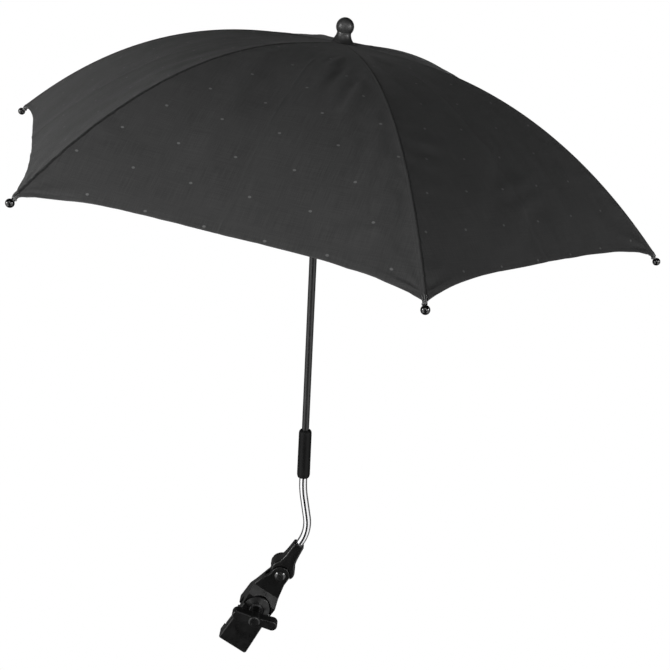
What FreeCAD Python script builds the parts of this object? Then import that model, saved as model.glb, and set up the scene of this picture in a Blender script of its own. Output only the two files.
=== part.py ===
import FreeCAD, Part
import os, math

V = FreeCAD.Vector
Rot = FreeCAD.Rotation
Pl = FreeCAD.Placement

# ---------------------------------------------------------------- driving dimensions (mm)
# Row frame: origin at the centre of the clamped tube, +Z up along the lower mast,
# +Y into the picture, +X to the right.

# clamp
TUBE_R = 12.5          # tube that the clamp grips
ARM_LEAN = 32.5        # lean of the clamp arm from the vertical, degrees
PIN_U = 75.4           # tube centre to pivot pin, along the arm
SCREW_U = 29.0         # tube centre to clamping screw
JAW_END = -24.2        # lower end of both jaws
ARM_W = 17.6           # half width of the arm beside the screw
CHEEK_R = 10.4         # rounded end of the fork cheeks
CHEEK_OUT = 10.5       # outer face of the cheeks
CHEEK_IN = 4.9         # inner face of the cheeks
ARM_FRONT = 18.0       # front face of the arm beside the front jaw
ARM_BACK = 19.0        # back face of the rear jaw
HOOK_W = 10.0          # half width of the rear jaw
FLARE = 15.7           # the arm's left edge at the front, at its waist
POCKET_R = 16.6        # round pocket for the head of the front jaw
JAW_HEAD_R = 15.5
JAW_W = 16.6           # half width of the front jaw at its head
JAW_LEFT = 16.0        # and at its lower end, left and right
JAW_FLARE = 20.8
JAW_FRONT = 20.0
JAW_SPLIT = 4.0        # half of the gap between the jaw lips
PAD_T = 1.75           # rubber pad
BOLT_R = 3.0
BOLT_HEAD_R = 6.4
SHANK_R = 3.9
WING_TURN = 15.8       # turn of the wings from the tube's direction, degrees
WING_HALF = 25.9       # half span of the wings
KNOB_R = 12.4

# rod, sleeve and masts
SOCKET_LEAN = 28.9
SOCKET_TOP = 41.0
SOCKET_CUT_R = 11.4
TONGUE_T = 4.65        # half thickness of the socket's tongue, and its radius
TONGUE_R = 11.7
ROD_R = 4.4
MAST_X = 61.3          # lower mast axis
KNUCKLE_Z = 481.0      # height of the knuckle pin
ROD_SPLAY = 9.8        # first bend of the rod, degrees
ROD_BEND_Z = -315.0    # first bend, below the knuckle
LOWER_R = 3.9          # lower mast tube
MAST_R = 3.5           # upper mast
MAST_WALL = 0.6
SLEEVE_TOP = -246.0
SLEEVE_END = -301.0
SLEEVE_R = 7.0

# canopy, in its own frame: origin at the middle of the plane of the rib tips
TILT = 9.7             # tilt of the canopy at rest, degrees
TILT_AZ = -44.37       # direction it leans to, in plan
KNUCKLE_C = -24.08     # knuckle pin on the canopy's axis
CAN_R = 340.0          # radius to the tips
CAN_H = 137.0          # height of the cloth above the tips
RISE = 0.4320          # curve of the ribs: rise, its power, swell and spread, in parts of the radius
POWER = 2.3442
SWELL = -0.0066
SPREAD = 0.0383
PEAK = 1.8             # lift of the cloth to the finial, and its reach
PEAK_R = 30.0
SAG = 0.0138           # hollow of a panel between two ribs
HEM_AT = 0.989         # end of the cloth along a rib
HEM_MAX = 0.977        # its corner at the rib itself
HEM_CUT = 0.0486       # how far the hem is hollowed between ribs
HEM_POW = 3.65
N_RIB = 6
NOTCH_R = 7.0          # circle of the rib pivots
NOTCH_DROP = 9.0       # rib pivots below the cloth
RIB_UNDER = 1.9        # a rib's middle line below the cloth, away from the notch
RIB_W, RIB_D, RIB_WALL = 2.8, 2.4, 0.55
STRUT_AT = 66.0        # radius of the rivet of the stretcher
STRUT_L = 75.0
RUNNER_R = 8.0         # circle of the stretcher pivots on the runner
WIRE_R = 0.8
FOLD = 58.9            # turn of a rib from open to gathered, degrees
TIP_R = 3.7
COLLAR_R = 2.1         # collar of a tip, over the rib's end

os.makedirs("parts", exist_ok=True)


# ---------------------------------------------------------------- helpers
def cyl(p, d, r, l):
    return Part.makeCylinder(r, l, V(*p), V(*d))


def box(x0, y0, z0, x1, y1, z1):
    return Part.makeBox(x1 - x0, y1 - y0, z1 - z0, V(x0, y0, z0))


def poly(pts):
    pts = [V(*p) for p in pts]
    return Part.Face(Part.makePolygon(pts + [pts[0]]))


def ext(pts, d):
    return poly(pts).extrude(V(*d))


def revolve(pts, base=(0, 0, 0), axis=(0, 0, 1)):
    return poly(pts).revolve(V(*base), V(*axis), 360)


def fuse(a, *more):
    s = a.fuse(list(more)) if more else a
    return s.removeSplitter()


def soften(shape, r, pick):
    edges = [e for e in shape.Edges if pick(e)]
    if not edges:
        return shape
    try:
        out = shape.makeFillet(r, edges)
        if out.isValid() and out.Solids and abs(out.Volume - shape.Volume) < 0.3 * shape.Volume:
            return out
    except Exception:
        pass
    print("not softened", r, len(edges))
    return shape


def bevel(shape, r, pick):
    edges = [e for e in shape.Edges if pick(e)]
    if not edges:
        return shape
    try:
        out = shape.makeChamfer(r, edges)
        if out.isValid() and out.Solids:
            return out
    except Exception:
        pass
    print("not bevelled", r, len(edges))
    return shape


DONE = {}


def keep(name, shape):
    if isinstance(shape, list):
        shape = Part.makeCompound(shape)
    DONE[name] = shape


# ---------------------------------------------------------------- clamp, in the arm's frame
# x across (the tube's direction), y into the picture, z up the arm, origin at the tube centre
CLAMP = Pl(V(0, 0, 0), Rot(V(0, 1, 0), ARM_LEAN))
pin = (0, 0, PIN_U)


def place(name, shape, pl):
    shapes = shape if isinstance(shape, list) else [shape]
    out = []
    for s in shapes:
        s = s.copy()
        s.Placement = pl.multiply(s.Placement)
        out.append(s)
    keep(name, out if len(out) > 1 else out[0])


side = [(10.4, 75.4), (10.5, 68.0), (15.2, 48.0), (ARM_W, 40.0)]


def slab(pts, y0, y1):
    right = [(x, y0, z) for x, z in pts]
    left = [(-x, y0, z) for x, z in reversed(pts)]
    return ext(right + left, (0, y1 - y0, 0))


wide = side + [(ARM_W, 15.5)]
waist = side + [(ARM_W, 18.6), (HOOK_W, 15.5)]
core = slab(waist, -CHEEK_OUT, CHEEK_OUT).fuse(cyl((0, -CHEEK_OUT, PIN_U), (0, 1, 0), CHEEK_R, 2 * CHEEK_OUT))
# the left side stands out further towards the front
out = [(-9.0, 70.0), (-10.45, 70.0), (-FLARE, 61.2), (-FLARE - 2.8, 49.6), (-FLARE - 3.0, 41.0), (-ARM_W, 29.0), (-9.0, 29.0)]
inn = [(-9.0, 70.0), (-10.4, 70.0), (-12.05, 61.2), (-14.75, 49.6), (-17.2, 41.0), (-ARM_W + 0.1, 29.0), (-9.0, 29.0)]
core = core.fuse(Part.makeLoft([Part.makePolygon([V(x, y, z) for x, z in pts + pts[:1]])
                                for pts, y in ((out, -CHEEK_OUT), (inn, 8.0))], True, True))
flare = ext([(x, -30, z) for x, z in out], (0, 30 - CHEEK_OUT, 0))
front = ext([(-40, -CHEEK_OUT + 1, 51.3), (-40, -CHEEK_OUT, 50.6), (-40, -ARM_FRONT, 41.0), (-40, -ARM_FRONT, 29.0),
             (-40, -4.0, 29.0), (-40, -4.0, 42.0)], (80, 0, 0)).common(slab(wide, -30, 30).fuse(flare))
hook_side = [(8.0, 54.0), (HOOK_W, 46.0), (HOOK_W, JAW_END)]
back = ext([(-40, CHEEK_OUT - 1, 53.3), (-40, CHEEK_OUT, 52.4), (-40, ARM_BACK, 41.0), (-40, ARM_BACK, JAW_END),
            (-40, JAW_SPLIT, JAW_END), (-40, JAW_SPLIT, 16.0), (-40, CHEEK_OUT - 1, 16.0)], (80, 0, 0)).common(
    slab(hook_side, -30, 30))
arm = fuse(core, front, back)
arm = arm.cut(box(-30, -CHEEK_IN, 63.4, 30, CHEEK_IN, 100))
arm = arm.cut(cyl((0, -40, PIN_U), (0, 1, 0), BOLT_R + 0.05, 80))
arm = arm.cut(cyl((0, -40, SCREW_U), (0, 1, 0), POCKET_R, 40 - 4.6))
arm = arm.cut(box(-40, -40, -60, 40, -4.6, SCREW_U))
arm = arm.cut(box(-40, -4.7, -60, 40, JAW_SPLIT, 15.6))
arm = arm.cut(cyl((-40, 0, 0), (1, 0, 0), TUBE_R + PAD_T + 0.08, 80))
arm = arm.cut(cyl((0, -40, SCREW_U), (0, 1, 0), SHANK_R + 0.3, 80))


def hexa(af, y0, y1, zc):
    rr = af / math.sqrt(3)
    pts = [(rr * math.cos(math.radians(60 * k)), y0, zc + rr * math.sin(math.radians(60 * k))) for k in range(6)]
    return ext(pts, (0, y1 - y0, 0))


arm = arm.cut(hexa(13.2, 11.0, 40, SCREW_U))
arm = arm.removeSplitter()
arm = soften(arm, 0.9, lambda e: e.Length > 6 and all(abs(v.Y + CHEEK_OUT) < 0.01 for v in e.Vertexes)
             and e.CenterOfMass.z > 50.7 and (abs(e.CenterOfMass.x) > 9.5 or e.CenterOfMass.z > PIN_U + 3))
arm = soften(arm, 0.9, lambda e: e.Length > 6 and all(abs(v.Y - CHEEK_OUT) < 0.01 for v in e.Vertexes)
             and e.CenterOfMass.z > 50.7 and (abs(e.CenterOfMass.x) > 9.5 or e.CenterOfMass.z > PIN_U + 3))
arm = soften(arm, 0.9, lambda e: e.Length > 6 and all(abs(v.Y + ARM_FRONT) < 0.01 for v in e.Vertexes)
             and abs(e.CenterOfMass.x) > ARM_W - 0.3)
arm = soften(arm, 1.2, lambda e: e.Length > 8 and all(abs(v.Y - ARM_BACK) < 0.01 for v in e.Vertexes)
             and (abs(e.CenterOfMass.x) > HOOK_W - 0.2 or e.CenterOfMass.z < JAW_END + 0.2))
place("clamp_arm", arm, CLAMP)

# the nut in its pocket behind the screw
nut = hexa(13.0, 11.05, 17.4, SCREW_U).cut(cyl((0, 0, SCREW_U), (0, 1, 0), SHANK_R + 0.08, 40))
place("jaw_nut", nut, CLAMP)


# rubber pads against the tube
def pad(sign):
    hw = HOOK_W - 0.6
    ring = cyl((-hw, 0, 0), (1, 0, 0), TUBE_R + PAD_T, 2 * hw).cut(cyl((-20, 0, 0), (1, 0, 0), TUBE_R, 40))
    y = sign * 6.9
    half = box(-30, y, -30, 30, 40, 30) if sign > 0 else box(-30, -40, -30, 30, y, 30)
    return ring.common(half)


place("jaw_pad_rear", pad(1), CLAMP)
place("jaw_pad_front", pad(-1), CLAMP)

# front jaw: coned round head in the arm's pocket, square grip below it
grip = ext([(-JAW_LEFT, -JAW_FRONT, JAW_END), (JAW_FLARE, -JAW_FRONT, JAW_END), (JAW_W, -JAW_FRONT, SCREW_U - 0.4),
            (-JAW_W, -JAW_FRONT, SCREW_U - 0.4)], (0, JAW_FRONT - JAW_SPLIT, 0))
grip = soften(grip, 2.6, lambda e: abs(e.CenterOfMass.z - JAW_END) < 0.05 and e.BoundBox.YLength > 4
              and e.BoundBox.XLength < 0.01)
grip = soften(grip, 1.9, lambda e: abs(e.CenterOfMass.y + JAW_FRONT) < 0.01 and e.BoundBox.YLength < 0.01
              and e.CenterOfMass.z < SCREW_U - 2)
grip = grip.cut(box(-40, -9.2, 15.2, 40, 0, 60))
head = revolve([(0, 0, -9.2), (JAW_HEAD_R, 0, -9.2), (JAW_HEAD_R, 0, -16.4), (JAW_HEAD_R - 0.7, 0, -17.3),
                (9.0, 0, -JAW_FRONT), (0, 0, -JAW_FRONT)])
head.Placement = Pl(V(0, 0, SCREW_U), Rot(V(1, 0, 0), -90)).multiply(head.Placement)
jaw = fuse(head, grip)
jaw = jaw.cut(cyl((-40, 0, 0), (1, 0, 0), TUBE_R + PAD_T + 0.08, 80))
jaw = jaw.cut(cyl((0, -40, SCREW_U), (0, 1, 0), SHANK_R + 0.3, 80))
jaw = jaw.removeSplitter()
place("front_jaw", jaw, CLAMP)

# clamping screw
washer = cyl((0, -JAW_FRONT - 1.2, SCREW_U), (0, 1, 0), 8.0, 1.2).cut(
    cyl((0, -40, SCREW_U), (0, 1, 0), SHANK_R + 0.05, 80))
place("screw_washer", washer, CLAMP)
shank = cyl((0, -JAW_FRONT - 10, SCREW_U), (0, 1, 0), SHANK_R, JAW_FRONT + 10 + 17.5)
shank = bevel(shank, 0.8, lambda e: abs(e.CenterOfMass.y - 17.5) < 0.01)
place("screw_shank", shank, CLAMP)

WY0, WY1 = -43.0, -31.0


def tangent(px, pz, cx, cz, r, sgn):
    # touching point on a circle of a line from (px, pz)
    dx_, dz_ = px - cx, pz - cz
    d2 = dx_ * dx_ + dz_ * dz_
    k = r * r / d2
    m = sgn * r * math.sqrt(d2 - r * r) / d2
    return cx + k * dx_ - m * dz_, cz + k * dz_ + m * dx_


def lobe(s):
    # a thick paddle, set a little up on one side and down on the other
    rr = 5.8
    a, b = s * (WING_HALF - rr), s * 0.4
    t1 = tangent(s * 1.0, 4.8, a, b, rr, -s)
    t2 = tangent(s * 1.0, -4.8, a, b, rr, s)
    P = lambda q: V(q[0], WY0, q[1])
    w = Part.Wire([Part.LineSegment(P((s * 1.0, -4.8)), P((s * 1.0, 4.8))).toShape(),
                   Part.LineSegment(P((s * 1.0, 4.8)), P(t1)).toShape(),
                   Part.Arc(P(t1), P((a + s * rr, b)), P(t2)).toShape(),
                   Part.LineSegment(P(t2), P((s * 1.0, -4.8))).toShape()])
    f = Part.Face(w).extrude(V(0, WY1 - WY0, 0))
    return soften(f, 1.8, lambda e: e.BoundBox.YLength < 0.01 and abs(e.CenterOfMass.x - s * 1.0) > 0.1)


wing = fuse(lobe(1), lobe(-1), box(-1.0, WY0, -4.8, 1.0, WY1, 4.8))
hub = revolve([(0, 0, -JAW_FRONT - 1.3), (7.2, 0, -JAW_FRONT - 1.3), (7.0, 0, -30.5), (6.9, 0, -42.8), (6.2, 0, -44.6),
               (4.9, 0, -45.4), (3.9, 0, -45.4), (3.4, 0, -44.5), (0, 0, -44.3)])
# the hub's profile is drawn upright and laid down along y
hub.Placement = Pl(V(0, 0, 0), Rot(V(1, 0, 0), -90)).multiply(hub.Placement)
wing = fuse(wing, hub)
wing.Placement = Pl(V(0, 0, SCREW_U), Rot(V(0, 1, 0), -WING_TURN)).multiply(wing.Placement)
wing = wing.cut(cyl((0, -JAW_FRONT - 10.05, SCREW_U), (0, 1, 0), SHANK_R + 0.03, 60))
place("wing_head", wing, CLAMP)

# pivot bolt, rear knob and washer on the pin
head = revolve([(0, 0, -CHEEK_OUT - 0.05), (BOLT_HEAD_R, 0, -CHEEK_OUT - 0.05), (BOLT_HEAD_R, 0, -CHEEK_OUT - 1.0),
                (6.05, 0, -12.3), (5.2, 0, -13.1), (3.8, 0, -13.7), (2.0, 0, -14.0), (0, 0, -14.1)])
head.Placement = Pl(V(0, 0, 0), Rot(V(1, 0, 0), -90)).multiply(head.Placement)
bolt = fuse(head, cyl((0, -CHEEK_OUT - 0.05, 0), (0, 1, 0), BOLT_R, 33))
bolt.Placement = Pl(V(0, 0, PIN_U), Rot()).multiply(bolt.Placement)
place("pivot_bolt", bolt, CLAMP)
place("friction_washer", cyl((0, 10.6, PIN_U), (0, 1, 0), 8.6, 2.0).cut(cyl((0, 0, PIN_U), (0, 1, 0), BOLT_R + 0.1, 40)),
      CLAMP)
knob = revolve([(0, 0, 12.7), (9.0, 0, 12.7), (KNOB_R - 0.9, 0, 14.0), (KNOB_R, 0, 15.2), (KNOB_R, 0, 22.2),
                (KNOB_R - 1.0, 0, 23.6), (KNOB_R - 3.2, 0, 24.4), (0, 0, 24.4)])
knob.Placement = Pl(V(0, 0, 0), Rot(V(1, 0, 0), -90)).multiply(knob.Placement)
for k in range(10):
    a = math.radians(36 * k)
    knob = knob.cut(cyl(((KNOB_R + 2.0) * math.cos(a), 10, (KNOB_R + 2.0) * math.sin(a)), (0, 1, 0), 2.4, 20))
knob = knob.cut(cyl((0, 0, 0), (0, 1, 0), 5.05, 22.6))
place("tilt_knob", knob, CLAMP.multiply(Pl(V(0, 0, PIN_U), Rot())))
insert = cyl((0, 12.75, 0), (0, 1, 0), 5.0, 9.8).cut(cyl((0, 0, 0), (0, 1, 0), BOLT_R + 0.07, 60))
place("knob_insert", insert, CLAMP.multiply(Pl(V(0, 0, PIN_U), Rot())))

# ---------------------------------------------------------------- rod socket, in its own frame at the pin
pin_row = CLAMP.multVec(V(0, 0, PIN_U))
SOCK = Pl(pin_row, Rot(V(0, 1, 0), SOCKET_LEAN))


def round_rect(hx, hy, r, z):
    c = [(hx - r, hy - r), (-hx + r, hy - r), (-hx + r, -hy + r), (hx - r, -hy + r)]
    edges = []
    k = r * math.sqrt(0.5)
    mids = [(k, k), (-k, k), (-k, -k), (k, -k)]
    ends = [((r, 0), (0, r)), ((0, r), (-r, 0)), ((-r, 0), (0, -r)), ((0, -r), (r, 0))]
    for n in range(4):
        cx, cy = c[n]
        a = V(cx + ends[n][0][0], cy + ends[n][0][1], z)
        b = V(cx + ends[n][1][0], cy + ends[n][1][1], z)
        edges.append(Part.Arc(a, V(cx + mids[n][0], cy + mids[n][1], z), b).toShape())
        nx, ny = c[(n + 1) % 4]
        e = V(nx + ends[(n + 1) % 4][0][0], ny + ends[(n + 1) % 4][0][1], z)
        edges.append(Part.LineSegment(b, e).toShape())
    return Part.Wire(edges)


# the socket's section changes from a flat wide shoulder to a narrow mouth
sections = [(12.5, 9.2, 2.4, 1.1), (13.5, 9.2, 2.4, 2.9), (13.9, 9.2, 2.4, 5.2), (13.0, 9.2, 2.4, 9.4), (10.2, 9.0, 2.4, 14.2), (8.0, 8.2, 2.4, 20.0),
            (7.0, 7.3, 2.4, 27.5), (6.5, 6.8, 2.4, 34.5), (6.15, 6.45, 2.4, SOCKET_TOP)]
sock = Part.makeLoft([round_rect(*q) for q in sections], True, False)
sock = sock.cut(cyl((0, -40, 0), (0, 1, 0), SOCKET_CUT_R, 80))
tongue = cyl((0, -TONGUE_T, 0), (0, 1, 0), TONGUE_R, 2 * TONGUE_T).fuse(box(-8.6, -TONGUE_T, 0, 8.6, TONGUE_T, 14.5))
sock = fuse(sock, tongue)
sock = sock.cut(cyl((0, -40, 0), (0, 1, 0), BOLT_R + 0.06, 80))
sock = sock.cut(cyl((0, 0, 17.0), (0, 0, 1), ROD_R + 0.03, 60))
sock = bevel(sock, 0.9, lambda e: e.CenterOfMass.z > SOCKET_TOP - 0.01 and e.BoundBox.ZLength < 0.01
             and not (e.BoundBox.XLength < 2 * ROD_R + 0.5 and e.BoundBox.YLength < 2 * ROD_R + 0.5
                      and abs(e.CenterOfMass.x) < 0.01 and abs(e.CenterOfMass.y) < 0.01 and e.Length < 28.5
                      and e.Length > 27))
place("rod_socket", sock, SOCK)

# ---------------------------------------------------------------- bent rod: straight runs and tangent arcs
mouth = SOCK.multVec(V(0, 0, SOCKET_TOP))
foot = SOCK.multVec(V(0, 0, 17.3))
up = SOCK.Rotation.multVec(V(0, 0, 1))
p0 = V(MAST_X, 0, KNUCKLE_Z - 278.0)
p1 = V(MAST_X, 0, KNUCKLE_Z + ROD_BEND_Z)
d1 = V(math.sin(math.radians(ROD_SPLAY)), 0, -math.cos(math.radians(ROD_SPLAY)))
# where the splayed run meets the socket's axis
den = d1.x * up.z - d1.z * up.x
tt = ((foot.x - p1.x) * up.z - (foot.z - p1.z) * up.x) / den
p2 = p1 + d1 * tt


def fillet_path(pts, radii):
    edges = []
    last = pts[0]
    for k in range(1, len(pts) - 1):
        a = (pts[k - 1] - pts[k]).normalize()
        b = (pts[k + 1] - pts[k]).normalize()
        ang = a.getAngle(b)
        tl = radii[k - 1] / math.tan(ang / 2)
        s = pts[k] + a * tl
        e = pts[k] + b * tl
        bis = (a + b).normalize()
        c = pts[k] + bis * (radii[k - 1] / math.sin(ang / 2))
        m = c - bis * radii[k - 1]
        edges.append(Part.LineSegment(last, s).toShape())
        edges.append(Part.Arc(s, m, e).toShape())
        last = e
    edges.append(Part.LineSegment(last, pts[-1]).toShape())
    return Part.Wire(edges)


path = fillet_path([p0, p1, p2, foot], [110.0, 44.0])
circ = Part.Wire(Part.makeCircle(ROD_R, p0, V(0, 0, -1)))
rod = path.makePipeShell([circ], True, False)
print("rod volume ratio", rod.Volume / (math.pi * ROD_R ** 2 * path.Length))
keep("chrome_rod", rod)

# ---------------------------------------------------------------- sleeve and lower mast (row frame, about the mast axis)
LOW = Pl(V(MAST_X, 0, KNUCKLE_Z), Rot())
sl = revolve([(0, 0, SLEEVE_TOP), (5.6, 0, SLEEVE_TOP), (SLEEVE_R - 0.35, 0, SLEEVE_TOP - 1.4), (SLEEVE_R, 0, SLEEVE_TOP - 3.4),
              (SLEEVE_R + 0.12, 0, SLEEVE_END + 3.4), (SLEEVE_R - 0.3, 0, SLEEVE_END + 1.2), (6.0, 0, SLEEVE_END),
              (0, 0, SLEEVE_END)])
sl = sl.cut(cyl((0, 0, -276.0), (0, 0, 1), LOWER_R + 0.06, 60))
sl = sl.cut(cyl((0, 0, -320.0), (0, 0, 1), ROD_R + 0.03, 320 - 277.8))
place("mast_sleeve", sl, LOW)
mast = cyl((0, 0, -274.5), (0, 0, 1), LOWER_R, 274.5 - 18.0).cut(cyl((0, 0, -300), (0, 0, 1), LOWER_R - MAST_WALL, 400))
place("lower_mast", mast, LOW)
place("mast_plug", cyl((0, 0, -275.6), (0, 0, 1), LOWER_R - 0.3, 1.0).fuse(
    cyl((0, 0, -274.7), (0, 0, 1), LOWER_R - MAST_WALL - 0.05, 8.0)).removeSplitter(), LOW)

# knuckle, x along its pin
ta = math.radians(TILT_AZ)
lean = V(math.cos(ta), math.sin(ta), 0)
pin_dir = V(0, 0, 1).cross(lean)
FORK = LOW.multiply(Pl(V(0, 0, 0), Rot(V(0, 0, 1), math.degrees(math.atan2(pin_dir.y, pin_dir.x)))))
CAN = LOW.multiply(Pl(V(0, 0, 0), Rot(pin_dir, TILT))).multiply(
    Pl(V(0, 0, 0), Rot(V(0, 0, 1), TILT_AZ - 150.0))).multiply(Pl(V(0, 0, -KNUCKLE_C), Rot()))
# knuckle frame that tilts with the canopy, x along the pin
TONG = LOW.multiply(Pl(V(0, 0, 0), Rot(pin_dir, TILT))).multiply(
    Pl(V(0, 0, 0), Rot(V(0, 0, 1), math.degrees(math.atan2(pin_dir.y, pin_dir.x)))))
fork = cyl((0, 0, -34.0), (0, 0, 1), 5.6, 24.0)
fork = fork.fuse(cyl((-6.0, 0, 0), (1, 0, 0), 6.0, 12.0)).fuse(box(-6.0, -5.4, -12.0, 6.0, 5.4, 0.0))
fork = fork.cut(box(-3.1, -20, -7.2, 3.1, 20, 20))
fork = fork.cut(cyl((0, 0, -40), (0, 0, 1), LOWER_R + 0.04, 22.2))
fork = fork.cut(cyl((-20, 0, 0), (1, 0, 0), 1.75, 40)).removeSplitter()
fork = bevel(fork, 1.0, lambda e: abs(e.CenterOfMass.z + 34) < 0.01 and e.Length > 30)
place("knuckle_fork", fork, FORK)
kp = cyl((-6.6, 0, 0), (1, 0, 0), 1.7, 13.2).fuse([cyl((-7.4, 0, 0), (1, 0, 0), 2.9, 1.3), cyl((6.1, 0, 0), (1, 0, 0), 2.9, 1.3)])
place("knuckle_pin", kp.removeSplitter(), FORK)
tongue = cyl((-3.0, 0, 0), (1, 0, 0), 6.0, 6.0).fuse([box(-3.0, -4.6, 0, 3.0, 4.6, 10.0), cyl((0, 0, 8.6), (0, 0, 1), 5.4, 8.0)])
tongue = tongue.cut(cyl((0, 0, 9.8), (0, 0, 1), MAST_R + 0.04, 30))
tongue = tongue.cut(cyl((-20, 0, 0), (1, 0, 0), 1.76, 40)).removeSplitter()
place("knuckle_tongue", tongue, TONG)


# ---------------------------------------------------------------- canopy frame
def zc(r):
    q = max(r, 0.0) / CAN_R
    peak = PEAK * (1.0 - math.exp(-(r / PEAK_R) ** 2))
    return CAN_H - peak + CAN_R * (-RISE * q ** POWER + SWELL * (q ** 2 - q ** 4) + SPREAD * q)


def slope(r):
    q = r / CAN_R
    peak = PEAK * 2.0 * r / PEAK_R ** 2 * math.exp(-(r / PEAK_R) ** 2)
    return -peak - RISE * POWER * q ** (POWER - 1.0) + SWELL * (2.0 * q - 4.0 * q ** 3) + SPREAD


def normal(r):
    s = slope(r)
    n = math.hypot(1.0, s)
    return -s / n, 1.0 / n


def below(r):
    # depth of a rib's middle line under the cloth
    return RIB_UNDER + (NOTCH_DROP - RIB_UNDER) * math.exp(-(r - NOTCH_R) / 22.0)


def rib_mid(r, off=0.0):
    nr, nz = normal(r)
    d = -below(r) + off
    return V(r + nr * d * (1 if r > 30 else r / 30.0), 0, zc(r) + nz * d)


PIVOT = V(NOTCH_R, 0, CAN_H - NOTCH_DROP)
RIVET = rib_mid(STRUT_AT)
hq = RIVET.x - RUNNER_R
RUNNER_Z = RIVET.z - math.sqrt(STRUT_L ** 2 - hq ** 2)
f = math.radians(FOLD)
dx, dz = RIVET.x - PIVOT.x, RIVET.z - PIVOT.z
shut = V(PIVOT.x + dx * math.cos(f) + dz * math.sin(f), 0, PIVOT.z - dx * math.sin(f) + dz * math.cos(f))
RUNNER_SHUT = shut.z - math.sqrt(STRUT_L ** 2 - (shut.x - RUNNER_R) ** 2)
turn = math.atan2(RUNNER_SHUT - shut.z, RUNNER_R - shut.x) - math.atan2(RUNNER_Z - RIVET.z, RUNNER_R - RIVET.x)
print("rivet", RIVET, "runner", RUNNER_Z, "gathered", RUNNER_SHUT, "travel", RUNNER_SHUT - RUNNER_Z,
      "stretcher turn", math.degrees(turn), "relative", math.degrees(turn) + FOLD)

# upper mast with a spigot for the finial and a slot for the catch
CATCH_TOP = RUNNER_Z - 17.6
um = cyl((0, 0, KNUCKLE_C + 9.9), (0, 0, 1), MAST_R, 131.0 - KNUCKLE_C - 9.9).fuse(cyl((0, 0, 130.0), (0, 0, 1), 2.4, 18.0))
um = um.removeSplitter()
um = um.cut(box(1.6, -1.1, CATCH_TOP - 30.0, 10, 1.1, CATCH_TOP + 0.3))
turn30 = Pl(V(0, 0, 0), Rot(V(0, 0, 1), 30))
place("upper_mast", um, CAN.multiply(turn30))
catch = ext([(1.75, -0.9, CATCH_TOP - 29), (2.5, -0.9, CATCH_TOP - 29), (5.9, -0.9, CATCH_TOP - 1.2), (5.9, -0.9, CATCH_TOP),
             (1.75, -0.9, CATCH_TOP)], (0, 1.8, 0))
place("catch_spring", catch, CAN.multiply(turn30))


def hex_ring(apothem, wire, z):
    bars = []
    side_l = 2 * apothem * math.tan(math.pi / 6)
    for k in range(6):
        b = cyl((apothem, -side_l / 2, z), (0, 1, 0), wire, side_l)
        b = b.fuse(Part.makeSphere(wire, V(apothem, side_l / 2, z)))
        b.rotate(V(0, 0, 0), V(0, 0, 1), 60 * k)
        bars.append(b)
    return fuse(bars[0], *bars[1:])


# top notch: a slotted crown with a cap
notch = cyl((0, 0, 122.6), (0, 0, 1), 10.6, 11.4)
notch = notch.fuse(cyl((0, 0, 117.0), (0, 0, 1), 5.3, 6.0)).removeSplitter()
slots = []
for k in range(6):
    s = box(4.35, -1.9, 110.0, 30, 1.9, 131.7)
    s.rotate(V(0, 0, 0), V(0, 0, 1), 60 * k)
    slots.append(s)
for s in slots:
    notch = notch.cut(s)
ring = hex_ring(NOTCH_R, WIRE_R, PIVOT.z)
notch = notch.cut(hex_ring(NOTCH_R, WIRE_R + 0.05, PIVOT.z))
notch = notch.cut(cyl((0, 0, 100), (0, 0, 1), MAST_R + 0.04, 31.0 - 0.0)).cut(cyl((0, 0, 100), (0, 0, 1), 2.45, 60))
notch = notch.removeSplitter()
place("top_notch", notch, CAN)
place("notch_ring", ring, CAN)
place("cloth_washer", cyl((0, 0, 134.1), (0, 0, 1), 11.5, 3.0).cut(cyl((0, 0, 100), (0, 0, 1), 2.5, 60)), CAN)

# finial: flared foot, neck and ball
FIN = CAN_H + 1.6
ball_z = FIN + 14.6
pts = [(0, 0, FIN), (10.6, 0, FIN), (10.8, 0, FIN + 0.9), (10.2, 0, FIN + 1.6), (9.0, 0, FIN + 3.0), (8.0, 0, FIN + 4.7),
       (7.3, 0, FIN + 6.4), (6.95, 0, FIN + 7.8), (6.9, 0, ball_z - 5.2)]
fin = revolve(pts + [(0, 0, ball_z - 5.2)])
fin = fin.fuse(Part.makeSphere(8.7, V(0, 0, ball_z))).removeSplitter()
fin = fin.cut(cyl((0, 0, 100), (0, 0, 1), 2.45, CAN_H + 11.0 - 100))
place("finial", fin, CAN)


# ribs
def spline(pts):
    c = Part.BSplineCurve()
    c.interpolate(pts)
    return c.toShape()


radii = [NOTCH_R + 1.0, 16.0, 28.0, 42.0, 60.0, 85.0, 115.0, 150.0, 190.0, 230.0, 270.0, 305.0, 333.6]


def rib_bar(width, low, high):
    top = [rib_mid(r, high) for r in radii]
    bot = [rib_mid(r, low) for r in radii]
    a = spline(top)
    b = spline(bot)
    w = Part.Wire([a, Part.LineSegment(top[-1], bot[-1]).toShape(), b, Part.LineSegment(bot[0], top[0]).toShape()])
    s = Part.Face(w).extrude(V(0, width, 0))
    s.translate(V(0, -width / 2, 0))
    return s


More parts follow.
